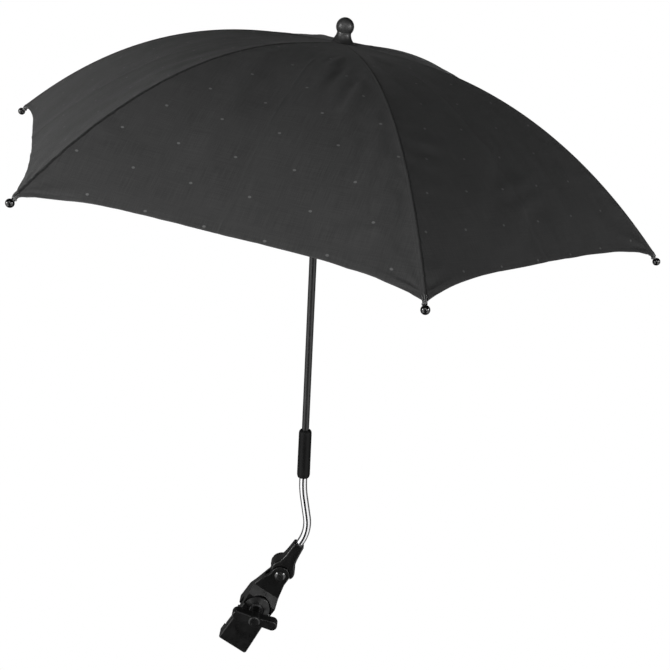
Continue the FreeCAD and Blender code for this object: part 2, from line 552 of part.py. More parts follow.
rib = rib_bar(RIB_W, -RIB_D / 2, RIB_D / 2)
groove = rib_bar(RIB_W - 2 * RIB_WALL, -RIB_D / 2 - 1.0, RIB_D / 2 - 0.7)
groove = groove.cut(cyl((PIVOT.x, -10, PIVOT.z), (0, 1, 0), 5.0, 20)).cut(cyl((CAN_R, -20, 0), (0, 1, 0), 20.0, 40))
rib = rib.cut(groove)
rib = rib.fuse(cyl((PIVOT.x, -RIB_W / 2, PIVOT.z), (0, 1, 0), 2.4, RIB_W)).removeSplitter()
rib = rib.cut(cyl((PIVOT.x, -10, PIVOT.z), (0, 1, 0), WIRE_R + 0.07, 20))
rib = rib.cut(cyl((RIVET.x, -10, RIVET.z), (0, 1, 0), 0.85, 20))

# ball tip with a collar over the end of the rib
end = rib_mid(333.6)
back_pt = rib_mid(327.0)
tdir = (end - back_pt).normalize()
ball_c = rib_mid(CAN_R + 0.6)
gap = (ball_c - end).Length
tnorm = V(-tdir.z, 0, tdir.x)
tip = cyl((end - tdir * 3.2 - tnorm * 0.45), tdir, COLLAR_R, 4.0)
tip = tip.fuse([Part.makeCone(COLLAR_R, 1.7, 1.6, end + tdir * 0.7, tdir), cyl(end, tdir, 1.7, gap),
                Part.makeSphere(TIP_R, end + tdir * gap)]).removeSplitter().cut(rib)
print("tip ball", ball_c)

rivet = cyl((RIVET.x, -3.1, RIVET.z), (0, 1, 0), 0.8, 6.2).fuse([cyl((RIVET.x, -3.2, RIVET.z), (0, 1, 0), 1.5, 0.55),
                                                              cyl((RIVET.x, 2.65, RIVET.z), (0, 1, 0), 1.5, 0.55)])
rivet = rivet.removeSplitter()

# stretcher: two ears over the rib, a channel bar and an eye at the runner
Q = V(RUNNER_R, 0, RUNNER_Z)
sd = (Q - RIVET).normalize()
sn = V(-sd.z, 0, sd.x)
if sn.z < 0:
    sn = sn * -1


def strut_slab(s0, s1, hgt, y0, y1):
    a = RIVET + sd * s0
    b = RIVET + sd * s1
    pts = [a + sn * hgt, b + sn * hgt, b - sn * hgt, a - sn * hgt]
    pts = [V(p.x, y0, p.z) for p in pts]
    return Part.Face(Part.makePolygon(pts + [pts[0]])).extrude(V(0, y1 - y0, 0))


ears = []
for s in (1, -1):
    y0, y1 = (1.75, 2.55) if s > 0 else (-2.55, -1.75)
    ears.append(cyl((RIVET.x, y0, RIVET.z), (0, 1, 0), 1.75, 0.8))
    ears.append(strut_slab(0, 10.0, 1.5, y0, y1))
bridge = strut_slab(6.4, 10.0, 1.5, -2.55, 2.55)
bar = strut_slab(8.0, STRUT_L - 1.0, 1.3, -1.5, 1.5)
eye = cyl((Q.x, -1.5, Q.z), (0, 1, 0), 2.2, 3.0)
strut = fuse(ears[0], *ears[1:], bridge, bar, eye)
strut = strut.cut(strut_slab(13.0, STRUT_L - 6.0, 1.3, -0.9, 0.9).translated(sn * -0.8))
strut = strut.cut(cyl((RIVET.x, -10, RIVET.z), (0, 1, 0), 0.86, 20))
strut = strut.cut(cyl((Q.x, -10, Q.z), (0, 1, 0), WIRE_R + 0.15, 20))

# runner: sleeve with a slotted crown; its wire lies in the crown's teeth
run = cyl((0, 0, RUNNER_Z - 17.2), (0, 0, 1), 5.3, 22.2)
run = run.fuse(cyl((0, 0, RUNNER_Z - 4.0), (0, 0, 1), 11.0, 8.0)).fuse(cyl((0, 0, RUNNER_Z - 17.2), (0, 0, 1), 6.6, 3.0)).removeSplitter()
for k in range(6):
    s = box(5.2, -1.85, RUNNER_Z - 10.0, 30, 1.85, RUNNER_Z + 20)
    s.rotate(V(0, 0, 0), V(0, 0, 1), 60 * k)
    run = run.cut(s)
run = run.cut(cyl((0, 0, RUNNER_Z - 50), (0, 0, 1), MAST_R + 0.08, 100))
wires = []
for k in range(6):
    w = cyl((RUNNER_R, -1.6, RUNNER_Z), (0, 1, 0), WIRE_R - 0.1, 3.2)
    w.rotate(V(0, 0, 0), V(0, 0, 1), 30 + 60 * k)
    wires.append(w)
    c = cyl((RUNNER_R, -1.65, RUNNER_Z), (0, 1, 0), WIRE_R - 0.05, 3.3)
    c.rotate(V(0, 0, 0), V(0, 0, 1), 30 + 60 * k)
    run = run.cut(c)
place("runner", run.removeSplitter(), CAN)
place("runner_ring", wires, CAN)

# ---------------------------------------------------------------- canopy gores
# arc length table of a rib's cloth line
STEPS = 2000
tab_r = [CAN_R * k / STEPS for k in range(STEPS + 1)]
tab_s = [0.0]
for k in range(STEPS):
    tab_s.append(tab_s[-1] + math.hypot(tab_r[k + 1] - tab_r[k], zc(tab_r[k + 1]) - zc(tab_r[k])))
ARC = tab_s[-1]
print("arc of a rib", ARC)


def r_at(u):
    s = u * ARC
    lo, hi = 0, STEPS
    while hi - lo > 1:
        m = (lo + hi) // 2
        if tab_s[m] <= s:
            lo = m
        else:
            hi = m
    return tab_r[lo] + (tab_r[hi] - tab_r[lo]) * (s - tab_s[lo]) / (tab_s[hi] - tab_s[lo])


GORE_IN = 6.0
GORE_LOW, GORE_T = 1.1, 0.8         # the sheet's lower face above the cloth line, and its thickness
GORE_LOW_IN = 0.4                   # at its inner edge, under the finial
ROWS = [GORE_IN / ARC, 0.09, 0.215, 0.365, 0.52, 0.675, 0.828]
SPLIT = 0.3                         # where the hem's corner turns into its straight part
SEAM = 0.0001                       # gap between two plates, as a share of the arc


def hem_at(v):
    return min(HEM_MAX, HEM_AT - HEM_CUT * (1.0 - abs(v - 1.0) ** HEM_POW))


def gore_point(u, v, side_s, off):
    r = r_at(u)
    v = min(v, 1.0 - 0.25 / (0.5 * r))
    q = v / 2.0
    c60, s60 = 0.5, math.sqrt(3) / 2
    x = r * (1 - q) + r * c60 * q
    y = r * s60 * q * side_s
    z = zc(r) - SAG * r * (1.0 - (v - 1.0) ** 2)
    # outward direction of the panel, from its middle line
    nr, nz = normal(r)
    n = V(nr, 0, nz)
    if v > 0:
        n = V(nr * math.cos(math.pi / 6), nr * math.sin(math.pi / 6) * side_s, nz)
        n.normalize()
    return V(x, y, z) + n * off


def plate(top, bot):
    # a closed plate on four upper and four lower corners; every face is split so that it bulges outwards
    mid = V(0, 0, 0)
    for p in top + bot:
        mid = mid + p * 0.125
    quads = [top, bot] + [[top[k], top[(k + 1) % 4], bot[(k + 1) % 4], bot[k]] for k in range(4)]
    faces = []
    for a, b, c, d in quads:
        n = (b - a).cross(c - a)
        if n.dot(a - mid) < 0:
            n = n * -1
        pairs = [(a, b, c), (a, c, d)] if n.dot(d - a) <= 0 else [(a, b, d), (b, c, d)]
        for t in pairs:
            faces.append(Part.Face(Part.makePolygon([t[0], t[1], t[2], t[0]])))
    sh = Part.makeShell(faces)
    sh.sewShape()
    so = Part.makeSolid(sh)
    if so.Volume < 0:
        so.reverse()
    return so


def gore():
    plates = []
    for side_s in (1, -1):
        for j in range(len(ROWS)):
            last = j == len(ROWS) - 1
            cols = [0.0, SPLIT, 1.0] if last else [0.0, 1.0]
            for v0, v1 in zip(cols, cols[1:]):
                lo = ROWS[j] + (SEAM if j else 0.0)
                hi0, hi1 = (hem_at(v0), hem_at(v1)) if last else (ROWS[j + 1] - SEAM, ROWS[j + 1] - SEAM)
                ring = [(lo, v0), (hi0, v0), (hi1, v1), (lo, v1)]
                lift = [GORE_LOW_IN if u == ROWS[0] else GORE_LOW for u, v in ring]
                plates.append(plate([gore_point(u, v, side_s, h + GORE_T) for (u, v), h in zip(ring, lift)],
                                    [gore_point(u, v, side_s, h) for (u, v), h in zip(ring, lift)]))
    return plates


cloth = gore()
print("gore", len(cloth), all(c.isValid() for c in cloth), sum(c.Volume for c in cloth))

for k in range(N_RIB):
    pl = CAN.multiply(Pl(V(0, 0, 0), Rot(V(0, 0, 1), 60 * k)))
    place("rib_%d" % (k + 1), rib, pl)
    place("rib_tip_%d" % (k + 1), tip, pl)
    place("rivet_%d" % (k + 1), rivet, pl)
    place("stretcher_%d" % (k + 1), strut, pl)
    place("canopy_gore_%d" % (k + 1), cloth, pl)

# ---------------------------------------------------------------- write
for name, shape in DONE.items():
    if not shape.isValid() or len(shape.Solids) < 1:
        print("CHECK", name, shape.isValid(), len(shape.Solids))
    if len(shape.Solids) == 1:
        shape = shape.Solids[0]
    elif name != "runner_ring" and not name.startswith("canopy_gore"):
        print("SOLIDS", name, len(shape.Solids))
    shape.exportStep("parts/%s.step" % name)
print(len(DONE), "nodes")
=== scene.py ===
"""Looks of the pram parasol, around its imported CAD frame. Lengths are in millimetres in the shape code and metres in Blender."""

import math

import bpy
import numpy as np
from mathutils import Matrix, Vector


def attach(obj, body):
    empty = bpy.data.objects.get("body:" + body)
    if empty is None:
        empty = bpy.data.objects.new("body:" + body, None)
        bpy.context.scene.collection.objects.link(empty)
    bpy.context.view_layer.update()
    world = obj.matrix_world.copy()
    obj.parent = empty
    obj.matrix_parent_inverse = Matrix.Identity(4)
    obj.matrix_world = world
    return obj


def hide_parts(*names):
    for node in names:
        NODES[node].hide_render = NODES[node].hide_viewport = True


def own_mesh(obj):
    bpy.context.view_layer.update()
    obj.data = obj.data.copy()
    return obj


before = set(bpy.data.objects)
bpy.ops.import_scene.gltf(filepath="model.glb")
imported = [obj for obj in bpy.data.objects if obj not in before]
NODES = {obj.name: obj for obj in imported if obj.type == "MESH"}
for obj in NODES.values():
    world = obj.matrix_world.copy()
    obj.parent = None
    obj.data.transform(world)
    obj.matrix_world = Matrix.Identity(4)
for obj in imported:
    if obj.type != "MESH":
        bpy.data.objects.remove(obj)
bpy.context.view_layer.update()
scene = bpy.context.scene

# ------------------------------------------------------------------ the canopy's own frame
TILT, TILT_AZ = math.radians(9.7), math.radians(-44.37)
KNUCKLE = np.array([61.3, 0.0, 481.0])
ABOVE = 24.08
CAN_R, CAN_H = 340.0, 137.0
RISE, POWER, SWELL, SPREAD = 0.4320, 2.3442, -0.0066, 0.0383
PEAK, PEAK_R = 1.8, 30.0
SAG = 0.0138
HEM_AT, HEM_MAX, HEM_CUT, HEM_POW = 0.989, 0.977, 0.0486, 3.65
RIB_UNDER = 1.9
NOTCH_R, NOTCH_DROP = 7.0, 9.0


def turn(axis, angle):
    a = np.array(axis, float)
    a = a / np.linalg.norm(a)
    k = np.array([[0, -a[2], a[1]], [a[2], 0, -a[0]], [-a[1], a[0], 0]])
    return np.eye(3) + math.sin(angle) * k + (1 - math.cos(angle)) * k @ k


PIN_DIR = np.array([-math.sin(TILT_AZ), math.cos(TILT_AZ), 0.0])
CAN = turn(PIN_DIR, TILT) @ turn((0, 0, 1), TILT_AZ - math.radians(150))
ORIGIN = KNUCKLE + CAN @ np.array([0, 0, ABOVE])
RIB_TURN = [CAN @ turn((0, 0, 1), math.radians(60 * k)) for k in range(6)]


def to_row(points, k):
    """Points in rib k's own frame, in mm, to the row frame, in metres."""
    return (np.asarray(points, float) @ RIB_TURN[k].T + ORIGIN) / 1000.0


def zc(r):
    q = r / CAN_R
    return (CAN_H - PEAK * (1 - np.exp(-((r / PEAK_R) ** 2)))
            + CAN_R * (-RISE * q ** POWER + SWELL * (q ** 2 - q ** 4) + SPREAD * q))


def slope(r):
    return (zc(r + 0.05) - zc(np.maximum(r - 0.05, 0))) / (r + 0.05 - np.maximum(r - 0.05, 0))


TAB_R = np.linspace(0, CAN_R, 3001)
TAB_S = np.concatenate([[0], np.cumsum(np.hypot(np.diff(TAB_R), np.diff(zc(TAB_R))))])
ARC = TAB_S[-1]


def r_at(s):
    return np.interp(s, TAB_S, TAB_R)


def smooth(x, a, b):
    t = np.clip((x - a) / (b - a), 0, 1)
    return t * t * (3 - 2 * t)


def lattice(i, j, seed):
    v = np.sin(i * 127.1 + j * 311.7 + seed * 74.7) * 43758.5453
    return (v - np.floor(v)) * 2 - 1


def noise(x, y, seed):
    i, j = np.floor(x), np.floor(y)
    f, g = x - i, y - j
    f, g = f * f * f * (f * (f * 6 - 15) + 10), g * g * g * (g * (g * 6 - 15) + 10)
    a, b = lattice(i, j, seed), lattice(i + 1, j, seed)
    c, d = lattice(i, j + 1, seed), lattice(i + 1, j + 1, seed)
    return (a + (b - a) * f) * (1 - g) + (c + (d - c) * f) * g


# ------------------------------------------------------------------ materials
class Nodes:
    """A small helper to build a material's nodes."""

    def __init__(self, name):
        self.material = bpy.data.materials.new(name)
        self.material.use_nodes = True
        self.tree = self.material.node_tree
        self.tree.nodes.clear()
        out = self.tree.nodes.new("ShaderNodeOutputMaterial")
        self.shader = self.tree.nodes.new("ShaderNodeBsdfPrincipled")
        self.tree.links.new(self.shader.outputs[0], out.inputs[0])

    def add(self, kind, inputs=None, **props):
        n = self.tree.nodes.new(kind)
        for k, v in props.items():
            setattr(n, k, v)
        for k, v in (inputs or {}).items():
            self.put(n.inputs[k], v)
        return n

    def put(self, socket, value):
        if isinstance(value, bpy.types.NodeSocket):
            self.tree.links.new(value, socket)
        else:
            socket.default_value = value

    def math(self, op, a, b=0.0, c=0.0):
        n = self.add("ShaderNodeMath", operation=op)
        for s, v in zip(n.inputs, (a, b, c)):
            self.put(s, v)
        return n.outputs[0]

    def ramp(self, value, lo, hi, to_lo, to_hi):
        n = self.add("ShaderNodeMapRange", {"Value": value, "From Min": lo, "From Max": hi, "To Min": to_lo, "To Max": to_hi})
        return n.outputs["Result"]

    def tint(self, value, a, b, lo=0.0, hi=1.0):
        n = self.add("ShaderNodeValToRGB", {"Fac": value})
        n.color_ramp.elements[0].position = lo
        n.color_ramp.elements[1].position = hi
        n.color_ramp.elements[0].color = (*a, 1)
        n.color_ramp.elements[1].color = (*b, 1)
        return n.outputs["Color"]

    def mix(self, fac, a, b, blend="MIX"):
        n = self.add("ShaderNodeMix", data_type="RGBA", blend_type=blend)
        self.put(n.inputs["Factor"], fac)
        for s, v in zip([i for i in n.inputs if i.type == "RGBA"], (a, b)):
            self.put(s, v if isinstance(v, bpy.types.NodeSocket) else (*v, 1))
        return [o for o in n.outputs if o.type == "RGBA"][0]

    def noise(self, coord, scale, detail=2.0, rough=0.5, stretch=None):
        if stretch:
            coord = self.add("ShaderNodeMapping", {"Vector": coord, "Scale": stretch}).outputs[0]
        return self.add("ShaderNodeTexNoise", {"Vector": coord, "Scale": scale, "Detail": detail, "Roughness": rough}).outputs["Fac"]

    def object_coord(self):
        return self.add("ShaderNodeTexCoord").outputs["Object"]

    def bump(self, height, strength, distance, normal=None):
        n = self.add("ShaderNodeBump", {"Height": height, "Strength": strength, "Distance": distance})
        if normal is not None:
            self.put(n.inputs["Normal"], normal)
        return n.outputs[0]

    def set(self, **values):
        for k, v in values.items():
            self.put(self.shader.inputs[k.replace("_", " ")], v)


def grey(v, warm=0.0):
    return (v * (1 + warm), v, v * (1 - warm))


def moulded(name, base, rough, grain=1400.0, depth=0.00005, strength=0.35, spec=0.35, coat=0.0, wear=0.25):
    """Moulded plastic: spark-eroded grain, faint flow marks and handling wear."""
    m = Nodes(name)
    co = m.object_coord()
    fine = m.noise(co, grain, 3.0, 0.6)
    flow = m.noise(co, 55.0, 3.0, 0.55)
    dust = m.noise(co, 210.0, 4.0, 0.7)
    colour = m.tint(flow, grey(base * (1 - wear)), grey(base * (1 + wear)), 0.3, 0.72)
    colour = m.mix(m.ramp(dust, 0.62, 0.8, 0.0, 0.35), colour, grey(base * 1.9))
    rub = m.math("ADD", m.ramp(flow, 0.3, 0.7, -0.05, 0.05), m.ramp(dust, 0.35, 0.7, -0.04, 0.06))
    m.set(Base_Color=colour, Roughness=m.math("ADD", rub, rough), Normal=m.bump(fine, strength, depth))
    m.set(Specular_IOR_Level=spec, Coat_Weight=coat, Coat_Roughness=0.12)
    return m.material


def painted(name, base, rough, coat=0.25):
    """Painted tube: orange peel, small rub marks along the tube."""
    m = Nodes(name)
    co = m.object_coord()
    peel = m.noise(co, 520.0, 2.0, 0.5)
    rub = m.noise(co, 60.0, 4.0, 0.65, (6.0, 6.0, 0.6))
    colour = m.tint(rub, grey(base * 0.85), grey(base * 1.35), 0.35, 0.75)
    m.set(Base_Color=colour, Roughness=m.ramp(rub, 0.3, 0.75, rough - 0.05, rough + 0.09), Normal=m.bump(peel, 0.18, 0.00006))
    m.set(Specular_IOR_Level=0.45, Coat_Weight=coat, Coat_Roughness=0.18)
    return m.material


def metal(name, base, rough, stretch, scratch=0.12, tarnish=0.85):
    m = Nodes(name)
    co = m.object_coord()
    lines = m.noise(co, 900.0, 3.0, 0.6, stretch)
    blot = m.noise(co, 45.0, 3.0, 0.6)
    colour = m.tint(blot, tuple(c * tarnish for c in base), base, 0.32, 0.6)
    m.set(Base_Color=colour, Roughness=m.math("ADD", m.ramp(lines, 0.3, 0.7, -0.02, 0.05), m.ramp(blot, 0.3, 0.7, rough + 0.03, rough)))
    m.set(Normal=m.bump(lines, scratch, 0.00002), Metallic=1.0)
    return m.material


def rubber(name, base):
    m = Nodes(name)
    co = m.object_coord()
    fine = m.noise(co, 700.0, 4.0, 0.7)
    patch = m.noise(co, 80.0, 3.0, 0.6)
    m.set(Base_Color=m.tint(patch, grey(base * 0.8), grey(base * 1.5), 0.3, 0.75), Roughness=m.ramp(patch, 0.3, 0.7, 0.72, 0.88),
          Normal=m.bump(fine, 0.5, 0.0001))
    m.set(Specular_IOR_Level=0.3)
    return m.material


def felted(name, base):
    m = Nodes(name)
    co = m.object_coord()
    hair = m.noise(co, 1600.0, 5.0, 0.75)
    m.set(Base_Color=m.tint(hair, grey(base * 0.6), grey(base * 1.8), 0.3, 0.75), Normal=m.bump(hair, 0.8, 0.0003))
    m.set(Roughness=0.95, Sheen_Weight=0.4, Sheen_Roughness=0.5, Specular_IOR_Level=0.1)
    return m.material


def threaded(name, base):
    m = Nodes(name)
    co = m.object_coord()
    ply = m.noise(co, 2600.0, 2.0, 0.5)
    m.set(Base_Color=m.tint(ply, grey(base * 0.55), grey(base * 1.5), 0.3, 0.72), Normal=m.bump(ply, 0.6, 0.0001))
    m.set(Roughness=0.75, Sheen_Weight=0.2, Specular_IOR_Level=0.3)
    return m.material


FABRIC = 0.0235


def woven():
    """Plain-woven polyester: warp and weft, slubs, sewn seams with painted shade along their grooves, the hem, a
    painted highlight along the middle crease, a regular pin-dot dye.
    """
    m = Nodes("canopy_fabric_woven")
    uv = m.add("ShaderNodeUVMap", uv_map="cloth").outputs["UV"]  # millimetres across and along the panel
    xyz = m.add("ShaderNodeSeparateXYZ", {"Vector": uv})
    x, y = xyz.outputs["X"], xyz.outputs["Y"]
    rib_d = m.add("ShaderNodeAttribute", attribute_name="rib_mm").outputs["Fac"]
    hem_d = m.add("ShaderNodeAttribute", attribute_name="hem_mm").outputs["Fac"]
    mid_d = m.add("ShaderNodeAttribute", attribute_name="mid_mm").outputs["Fac"]

    # threads
    per = 2 * math.pi / 0.62
    warp = m.math("SINE", m.math("MULTIPLY", x, per))
    weft = m.math("SINE", m.math("MULTIPLY", y, per))
    cross = m.math("MULTIPLY", warp, weft)
    slub_x = m.noise(uv, 1.0, 3.0, 0.6, (1.6, 0.035, 1.0))
    slub_y = m.noise(uv, 1.0, 3.0, 0.6, (0.035, 1.6, 1.0))
    slubs = m.math("ADD", slub_x, slub_y)
    cloud = m.noise(uv, 0.028, 4.0, 0.6)
    fade = m.noise(uv, 0.11, 3.0, 0.55)

    colour = m.tint(m.ramp(slubs, 0.78, 1.22, 0.0, 1.0), grey(FABRIC * 0.74), grey(FABRIC * 1.28), 0.1, 0.9)
    colour = m.mix(m.ramp(cloud, 0.36, 0.68, 0.0, 0.5), colour, grey(FABRIC * 1.22))
    colour = m.mix(m.ramp(fade, 0.5, 0.75, 0.0, 0.25), colour, grey(FABRIC * 0.78))
    colour = m.mix(m.ramp(cross, -1.0, 1.0, 0.0, 0.22), colour, grey(FABRIC * 1.7))

    # pin dots, staggered
    row = m.math("FLOOR", m.math("DIVIDE", y, 37.0))
    odd = m.math("MULTIPLY", m.math("MODULO", m.math("ABSOLUTE", row), 2.0), 0.5)
    fx = m.math("SUBTRACT", m.math("FRACT", m.math("ADD", m.math("DIVIDE", x, 43.0), m.math("ADD", odd, 100.25))), 0.5)
    fy = m.math("SUBTRACT", m.math("FRACT", m.math("DIVIDE", y, 37.0)), 0.5)
    dx, dy = m.math("MULTIPLY", fx, 43.0), m.math("MULTIPLY", fy, 37.0)
    away = m.math("SQRT", m.math("ADD", m.math("MULTIPLY", dx, dx), m.math("MULTIPLY", dy, dy)))
    dot = m.ramp(away, 0.95, 1.35, 0.75, 0.0)
    colour = m.mix(dot, colour, grey(0.10))

    # seam beside each rib with a near-black line of painted shade along its groove, its stitches, and the hem's row of
    # stitches
    drift = m.noise(uv, 1.0, 2.0, 0.5, (0.02, 0.16, 1.0))
    uneven = m.noise(uv, 1.0, 2.0, 0.6, (0.03, 0.33, 1.0))
    line = m.math("SUBTRACT", rib_d, m.ramp(drift, 0.3, 0.7, 1.0, 1.8))
    seam = m.math("MULTIPLY", m.ramp(m.math("ABSOLUTE", line), 0.5, 1.15, 1.0, 0.0), m.ramp(uneven, 0.35, 0.62, 0.62, 0.97))
    # painted shade: the seam groove's shadow, drawn as a near-black line in the cloth's colour
    colour = m.mix(seam, colour, grey(FABRIC * 0.12))
    along = m.math("FRACT", m.math("DIVIDE", y, 2.6))
    lap = m.ramp(m.math("ABSOLUTE", m.math("ADD", rib_d, 2.8)), 0.18, 0.4, 1.0, 0.0)
    lap = m.math("MULTIPLY", lap, m.ramp(along, 0.64, 0.74, 0.4, 0.0))
    colour = m.mix(lap, colour, grey(FABRIC * 1.7))
    across = m.math("FRACT", m.math("DIVIDE", x, 2.6))
    sewn = m.ramp(m.math("ABSOLUTE", m.math("SUBTRACT", hem_d, 5.6)), 0.2, 0.45, 1.0, 0.0)
    sewn = m.math("MULTIPLY", sewn, m.ramp(across, 0.64, 0.74, 0.35, 0.0))
    colour = m.mix(sewn, colour, grey(FABRIC * 1.5))
    edge = m.ramp(hem_d, 0.5, 1.3, 0.35, 0.0)
    colour = m.mix(edge, colour, grey(FABRIC * 2.4))
    # painted highlight: a lighter line in the cloth's colour along the folded crease down the middle of each panel
    crease = m.ramp(mid_d, 0.2, 0.9, 0.16, 0.0)
    colour = m.mix(crease, colour, grey(FABRIC * 1.9))

    height = m.math("ADD", m.math("MULTIPLY", cross, 0.5), m.math("MULTIPLY", slubs, 0.9))
    height = m.math("ADD", height, m.math("MULTIPLY", m.math("ADD", lap, sewn), 1.2))
    m.set(Base_Color=colour, Roughness=m.ramp(cloud, 0.3, 0.7, 0.74, 0.86), Normal=m.bump(height, 0.35, 0.00012))
    m.set(Specular_IOR_Level=0.22, Sheen_Weight=0.048, Sheen_Roughness=0.45)
    return m.material


MATS = {
    "clamp_plastic": moulded("clamp_moulded", 0.0040, 0.32, spec=0.5),
    "wing_plastic": moulded("wing_moulded", 0.0048, 0.31, spec=0.5),
    "knob_plastic": moulded("knob_moulded", 0.0055, 0.42, spec=0.5),
    "pad_rubber": rubber("pad_rubber_moulded", 0.012),
    "steel": metal("steel_plated", (0.56, 0.56, 0.57), 0.28, (1.0, 1.0, 0.2)),
    "black_steel": painted("bolt_black", 0.008, 0.20, 1.0),
    "washer_plastic": moulded("washer_moulded", 0.02, 0.5),
    "brass": metal("brass_turned", (0.62, 0.45, 0.18), 0.30, (0.3, 1.0, 1.0)),
    "chrome": metal("chrome_plated", (0.93, 0.93, 0.94), 0.15, (1.0, 1.0, 0.06), 0.004, 0.95),
    "sleeve_plastic": moulded("sleeve_moulded", 0.0042, 0.45, spec=0.14),
    "mast_black": painted("mast_painted", 0.0075, 0.34),
    "knuckle_black": moulded("knuckle_moulded", 0.009, 0.42),
    "crown_plastic": moulded("crown_moulded", 0.010, 0.45),
    "felt": felted("washer_felt", 0.02),
    "finial_plastic": moulded("finial_moulded", 0.026, 0.36, grain=900.0, depth=0.00003, spec=0.5),
    "rib_steel": painted("rib_painted", 0.009, 0.36),
    "tip_plastic": moulded("tip_gloss", 0.0035, 0.10, grain=600.0, depth=0.00002, strength=0.1, spec=0.6, coat=0.8, wear=0.15),
    "canopy_fabric": woven(),
}
SLOT = {
    "clamp_plastic": ["clamp_arm", "front_jaw", "rod_socket"],
    "wing_plastic": ["wing_head"],
    "knob_plastic": ["tilt_knob"],
    "pad_rubber": ["jaw_pad_rear", "jaw_pad_front"],
    "steel": ["jaw_nut", "screw_washer", "screw_shank", "notch_ring", "runner_ring", "catch_spring"] + ["rivet_%d" % k for k in range(1, 7)],
    "black_steel": ["pivot_bolt"],
    "washer_plastic": ["friction_washer", "mast_plug"],
    "brass": ["knob_insert"],
    "chrome": ["chrome_rod"],
    "sleeve_plastic": ["mast_sleeve"],
    "mast_black": ["lower_mast", "upper_mast", "knuckle_pin"],
    "knuckle_black": ["knuckle_fork", "knuckle_tongue"],
    "crown_plastic": ["top_notch", "runner"],
    "felt": ["cloth_washer"],
    "finial_plastic": ["finial"],
    "rib_steel": ["rib_%d" % k for k in range(1, 7)] + ["stretcher_%d" % k for k in range(1, 7)],
    "tip_plastic": ["rib_tip_%d" % k for k in range(1, 7)],
    "canopy_fabric": ["canopy_gore_%d" % k for k in range(1, 7)],
}
for slot_name, names in SLOT.items():
    for n in names:
        NODES[n].data.materials.clear()
        NODES[n].data.materials.append(MATS[slot_name])

THREAD = threaded("sewing_thread", 0.09)
DARK_THREAD = threaded("tie_thread", 0.03)


# ------------------------------------------------------------------ mesh helpers
def new_mesh(name, verts, faces, material):
    me = bpy.data.meshes.new(name)
    me.from_pydata([tuple(v) for v in verts], [], [tuple(f) for f in faces])
    me.materials.append(material)
    for p in me.polygons:
        p.use_smooth = True
    me.update()
    o = bpy.data.objects.new(name, me)
    scene.collection.objects.link(o)
    return o


def tubes(paths, radius, sides=8):
    """Round threads along lists of points; returns vertices and faces."""
    verts, faces = [], []
    for path in paths:
        path = np.asarray(path, float)
        tang = np.gradient(path, axis=0)
        tang /= np.linalg.norm(tang, axis=1)[:, None]
        up = np.array([0.31, 0.22, 0.93])
        start = len(verts)
        for p, t in zip(path, tang):
            a = np.cross(t, up)
            a /= np.linalg.norm(a)
            b = np.cross(t, a)
            for i in range(sides):
                w = 2 * math.pi * i / sides
                verts.append(p + radius * (math.cos(w) * a + math.sin(w) * b))
        for j in range(len(path) - 1):
            for i in range(sides):
                q = start + j * sides
                faces.append((q + i, q + (i + 1) % sides, q + sides + (i + 1) % sides, q + sides + i))
        faces.append(tuple(start + i for i in reversed(range(sides))))
        q = start + (len(path) - 1) * sides
        faces.append(tuple(q + i for i in range(sides)))
    return verts, faces


# ------------------------------------------------------------------ the canopy cloth
START = 5.5
NEAR_RIB = [0, 0.7, 1.4, 2.1, 2.8, 3.6, 4.6, 6.0, 8.0, 10.5, 13.5]
NEAR_MID = [10.5, 7.5, 5.0, 3.2, 1.8, 0.8, 0]
INNER = 18
NEAR_HEM = [38, 32, 26, 21, 17, 13.5, 10.5, 8.4, 7.4, 6.6, 6.0, 5.4, 4.0, 2.4, 1.2, 0.5, 0]
ROWS = 64


def hem_share(v):
    return HEM_AT - HEM_CUT * (1 - np.abs(v - 1) ** HEM_POW)


def columns(width):
    """Distances from the rib, in mm, for a half panel of this width."""
    g = np.minimum(1.0, width / 52.0)
    near = [a * g for a in NEAR_RIB]
    mid = [width - b * g for b in NEAR_MID]
    lo, hi = near[-1], mid[0]
    inner = [lo + (hi - lo) * (i + 1) / (INNER + 1) for i in range(INNER)]
    return np.array(near + inner + mid)


